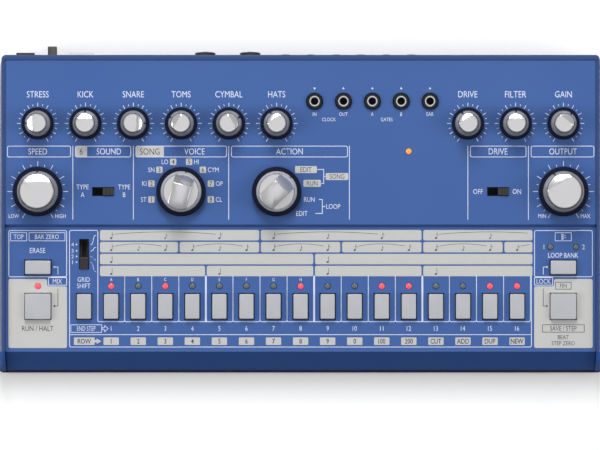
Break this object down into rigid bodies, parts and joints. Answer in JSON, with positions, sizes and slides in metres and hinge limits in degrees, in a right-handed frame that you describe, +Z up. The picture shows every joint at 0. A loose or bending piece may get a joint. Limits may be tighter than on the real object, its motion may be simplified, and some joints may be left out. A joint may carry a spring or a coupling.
{
  "type": "drum machine",
  "caption": "Desktop drum machine: wedge case with a sloping panel of knobs, bar selectors, slides, step keys and lights, and jacks on the panel and at the rear.",
  "frame": {"origin": "on the table, under the centre of the bounding box", "axes": "+X to the player's right, +Y away from the player to the rear connectors, +Z up"},
  "size_m": [0.305, 0.1646, 0.0557],
  "materials": {
    "case_blue": "satin blue moulding",
    "base_black": "matt black moulding",
    "rubber": "matt",
    "screw_steel": "dark zinc plated",
    "board_green": "green solder mask",
    "control_steel": "plain",
    "switch_black": "matt",
    "led_red": "clear coloured lens",
    "led_orange": "clear coloured lens",
    "jack_black": "satin",
    "nut_black": "black plated",
    "usb_steel": "tin plated",
    "ribbon_grey": "plain",
    "control_black": "satin slide caps and knob skirts",
    "jack_nickel": "bright nickel barrels of the jacks",
    "print_light": "light screen print",
    "print_dark": "dark screen print",
    "knob_silver": "silver cap on a black skirt",
    "key_grey": "pale grey rubbery plastic"
  },
  "bodies": {
    "case": {"top_case": "case_blue", "bottom_case": "base_black", "rubber_feet": "rubber", "case_screws": "screw_steel", "main_board": "board_green", "connector_board": "board_green", "potentiometers": "control_steel", "rotary_switches": "control_steel", "tact_switches": "switch_black", "slide_switches": "switch_black", "red_leds": "led_red", "status_led": "led_orange", "panel_jacks": "jack_black", "panel_jack_nuts": "nut_black", "rear_jacks": "jack_black", "main_output_jack": "jack_black", "midi_sockets": "jack_black", "usb_socket": "usb_steel", "dc_socket": "jack_black", "power_switch": "switch_black", "ribbon_cable": "ribbon_grey"},
    "stress_knob": {"stress_knob": "knob_silver"},
    "kick_knob": {"kick_knob": "knob_silver"},
    "snare_knob": {"snare_knob": "knob_silver"},
    "toms_knob": {"toms_knob": "knob_silver"},
    "cymbal_knob": {"cymbal_knob": "knob_silver"},
    "hats_knob": {"hats_knob": "knob_silver"},
    "drive_knob": {"drive_knob": "knob_silver"},
    "filter_knob": {"filter_knob": "knob_silver"},
    "gain_knob": {"gain_knob": "knob_silver"},
    "speed_knob": {"speed_knob": "knob_silver"},
    "output_knob": {"output_knob": "knob_silver"},
    "voice_selector": {"voice_selector": "knob_silver"},
    "mode_selector": {"mode_selector": "knob_silver"},
    "sound_slide": {"sound_slide": "control_black"},
    "drive_slide": {"drive_slide": "control_black"},
    "scale_slide": {"scale_slide": "control_black"},
    "power_lever": {"power_lever": "jack_black"},
    "step_key_01": {"step_key_01": "key_grey"},
    "step_key_02": {"step_key_02": "key_grey"},
    "step_key_03": {"step_key_03": "key_grey"},
    "step_key_04": {"step_key_04": "key_grey"},
    "step_key_05": {"step_key_05": "key_grey"},
    "step_key_06": {"step_key_06": "key_grey"},
    "step_key_07": {"step_key_07": "key_grey"},
    "step_key_08": {"step_key_08": "key_grey"},
    "step_key_09": {"step_key_09": "key_grey"},
    "step_key_10": {"step_key_10": "key_grey"},
    "step_key_11": {"step_key_11": "key_grey"},
    "step_key_12": {"step_key_12": "key_grey"},
    "step_key_13": {"step_key_13": "key_grey"},
    "step_key_14": {"step_key_14": "key_grey"},
    "step_key_15": {"step_key_15": "key_grey"},
    "step_key_16": {"step_key_16": "key_grey"},
    "shift_key": {"shift_key": "key_grey"},
    "clear_key": {"clear_key": "key_grey"},
    "group_key": {"group_key": "key_grey"},
    "start_key": {"start_key": "key_grey"},
    "tap_key": {"tap_key": "key_grey"}
  },
  "joints": [
    {"name": "stress_turn", "type": "hinge", "parent": "case", "child": "stress_knob", "pos_m": [-0.132, 0.03986, 0.04059], "axis": [0, 0.1132, -0.9936], "range_deg": [-60, 240]},
    {"name": "kick_turn", "type": "hinge", "parent": "case", "child": "kick_knob", "pos_m": [-0.108, 0.03986, 0.04059], "axis": [0, 0.1132, -0.9936], "range_deg": [-150, 150]},
    {"name": "snare_turn", "type": "hinge", "parent": "case", "child": "snare_knob", "pos_m": [-0.084, 0.03986, 0.04059], "axis": [0, 0.1132, -0.9936], "range_deg": [-240, 60]},
    {"name": "toms_turn", "type": "hinge", "parent": "case", "child": "toms_knob", "pos_m": [-0.06, 0.03986, 0.04059], "axis": [0, 0.1132, -0.9936], "range_deg": [-90, 210]},
    {"name": "cymbal_turn", "type": "hinge", "parent": "case", "child": "cymbal_knob", "pos_m": [-0.036, 0.03986, 0.04059], "axis": [0, 0.1132, -0.9936], "range_deg": [-210, 90]},
    {"name": "hats_turn", "type": "hinge", "parent": "case", "child": "hats_knob", "pos_m": [-0.012, 0.03986, 0.04059], "axis": [0, 0.1132, -0.9936], "range_deg": [-120, 180]},
    {"name": "drive_turn", "type": "hinge", "parent": "case", "child": "drive_knob", "pos_m": [0.084, 0.03986, 0.04059], "axis": [0, 0.1132, -0.9936], "range_deg": [-120, 180]},
    {"name": "filter_turn", "type": "hinge", "parent": "case", "child": "filter_knob", "pos_m": [0.108, 0.03986, 0.04059], "axis": [0, 0.1132, -0.9936], "range_deg": [-150, 150]},
    {"name": "gain_turn", "type": "hinge", "parent": "case", "child": "gain_knob", "pos_m": [0.132, 0.03986, 0.04059], "axis": [0, 0.1132, -0.9936], "range_deg": [-187, 113]},
    {"name": "speed_turn", "type": "hinge", "parent": "case", "child": "speed_knob", "pos_m": [-0.132, 0.00588, 0.03672], "axis": [0, 0.1132, -0.9936], "range_deg": [-150, 150]},
    {"name": "output_turn", "type": "hinge", "parent": "case", "child": "output_knob", "pos_m": [0.132, 0.00588, 0.03672], "axis": [0, 0.1132, -0.9936], "range_deg": [-121, 179]},
    {"name": "voice_turn", "type": "hinge", "parent": "case", "child": "voice_selector", "pos_m": [-0.06, 0.00588, 0.03672], "axis": [0, 0.1132, -0.9936], "range_deg": [-120, 90]},
    {"name": "mode_turn", "type": "hinge", "parent": "case", "child": "mode_selector", "pos_m": [-0.012, 0.00588, 0.03672], "axis": [0, 0.1132, -0.9936], "range_deg": [0, 90]},
    {"name": "sound_slide_shift", "type": "slide", "parent": "case", "child": "sound_slide", "axis": [1, 0, 0], "range_m": [-0.0053, 0]},
    {"name": "drive_slide_shift", "type": "slide", "parent": "case", "child": "drive_slide", "axis": [1, 0, 0], "range_m": [-0.0053, 0]},
    {"name": "scale_slide_shift", "type": "slide", "parent": "case", "child": "scale_slide", "axis": [0, 0.9936, 0.1132], "range_m": [0, 0.009]},
    {"name": "power_lever_shift", "type": "slide", "parent": "case", "child": "power_lever", "axis": [1, 0, 0], "range_m": [0, 0.004]},
    {"name": "step_key_01_press", "type": "slide", "parent": "case", "child": "step_key_01", "axis": [0, -0.1132, 0.9936], "range_m": [-0.0008, 0], "stiffness_N_per_m": 300, "springref_m": 0.001},
    {"name": "step_key_02_press", "type": "slide", "parent": "case", "child": "step_key_02", "axis": [0, -0.1132, 0.9936], "range_m": [-0.0008, 0], "stiffness_N_per_m": 300, "springref_m": 0.001},
    {"name": "step_key_03_press", "type": "slide", "parent": "case", "child": "step_key_03", "axis": [0, -0.1132, 0.9936], "range_m": [-0.0008, 0], "stiffness_N_per_m": 300, "springref_m": 0.001},
    {"name": "step_key_04_press", "type": "slide", "parent": "case", "child": "step_key_04", "axis": [0, -0.1132, 0.9936], "range_m": [-0.0008, 0], "stiffness_N_per_m": 300, "springref_m": 0.001},
    {"name": "step_key_05_press", "type": "slide", "parent": "case", "child": "step_key_05", "axis": [0, -0.1132, 0.9936], "range_m": [-0.0008, 0], "stiffness_N_per_m": 300, "springref_m": 0.001},
    {"name": "step_key_06_press", "type": "slide", "parent": "case", "child": "step_key_06", "axis": [0, -0.1132, 0.9936], "range_m": [-0.0008, 0], "stiffness_N_per_m": 300, "springref_m": 0.001},
    {"name": "step_key_07_press", "type": "slide", "parent": "case", "child": "step_key_07", "axis": [0, -0.1132, 0.9936], "range_m": [-0.0008, 0], "stiffness_N_per_m": 300, "springref_m": 0.001},
    {"name": "step_key_08_press", "type": "slide", "parent": "case", "child": "step_key_08", "axis": [0, -0.1132, 0.9936], "range_m": [-0.0008, 0], "stiffness_N_per_m": 300, "springref_m": 0.001},
    {"name": "step_key_09_press", "type": "slide", "parent": "case", "child": "step_key_09", "axis": [0, -0.1132, 0.9936], "range_m": [-0.0008, 0], "stiffness_N_per_m": 300, "springref_m": 0.001},
    {"name": "step_key_10_press", "type": "slide", "parent": "case", "child": "step_key_10", "axis": [0, -0.1132, 0.9936], "range_m": [-0.0008, 0], "stiffness_N_per_m": 300, "springref_m": 0.001},
    {"name": "step_key_11_press", "type": "slide", "parent": "case", "child": "step_key_11", "axis": [0, -0.1132, 0.9936], "range_m": [-0.0008, 0], "stiffness_N_per_m": 300, "springref_m": 0.001},
    {"name": "step_key_12_press", "type": "slide", "parent": "case", "child": "step_key_12", "axis": [0, -0.1132, 0.9936], "range_m": [-0.0008, 0], "stiffness_N_per_m": 300, "springref_m": 0.001},
    {"name": "step_key_13_press", "type": "slide", "parent": "case", "child": "step_key_13", "axis": [0, -0.1132, 0.9936], "range_m": [-0.0008, 0], "stiffness_N_per_m": 300, "springref_m": 0.001},
    {"name": "step_key_14_press", "type": "slide", "parent": "case", "child": "step_key_14", "axis": [0, -0.1132, 0.9936], "range_m": [-0.0008, 0], "stiffness_N_per_m": 300, "springref_m": 0.001},
    {"name": "step_key_15_press", "type": "slide", "parent": "case", "child": "step_key_15", "axis": [0, -0.1132, 0.9936], "range_m": [-0.0008, 0], "stiffness_N_per_m": 300, "springref_m": 0.001},
    {"name": "step_key_16_press", "type": "slide", "parent": "case", "child": "step_key_16", "axis": [0, -0.1132, 0.9936], "range_m": [-0.0008, 0], "stiffness_N_per_m": 300, "springref_m": 0.001},
    {"name": "shift_key_press", "type": "slide", "parent": "case", "child": "shift_key", "axis": [0, -0.1132, 0.9936], "range_m": [-0.0008, 0], "stiffness_N_per_m": 300, "springref_m": 0.001},
    {"name": "clear_key_press", "type": "slide", "parent": "case", "child": "clear_key", "axis": [0, -0.1132, 0.9936], "range_m": [-0.0008, 0], "stiffness_N_per_m": 300, "springref_m": 0.001},
    {"name": "group_key_press", "type": "slide", "parent": "case", "child": "group_key", "axis": [0, -0.1132, 0.9936], "range_m": [-0.0008, 0], "stiffness_N_per_m": 300, "springref_m": 0.001},
    {"name": "start_key_press", "type": "slide", "parent": "case", "child": "start_key", "axis": [0, -0.1132, 0.9936], "range_m": [-0.0008, 0], "stiffness_N_per_m": 300, "springref_m": 0.001},
    {"name": "tap_key_press", "type": "slide", "parent": "case", "child": "tap_key", "axis": [0, -0.1132, 0.9936], "range_m": [-0.0008, 0], "stiffness_N_per_m": 300, "springref_m": 0.001}
  ]
}
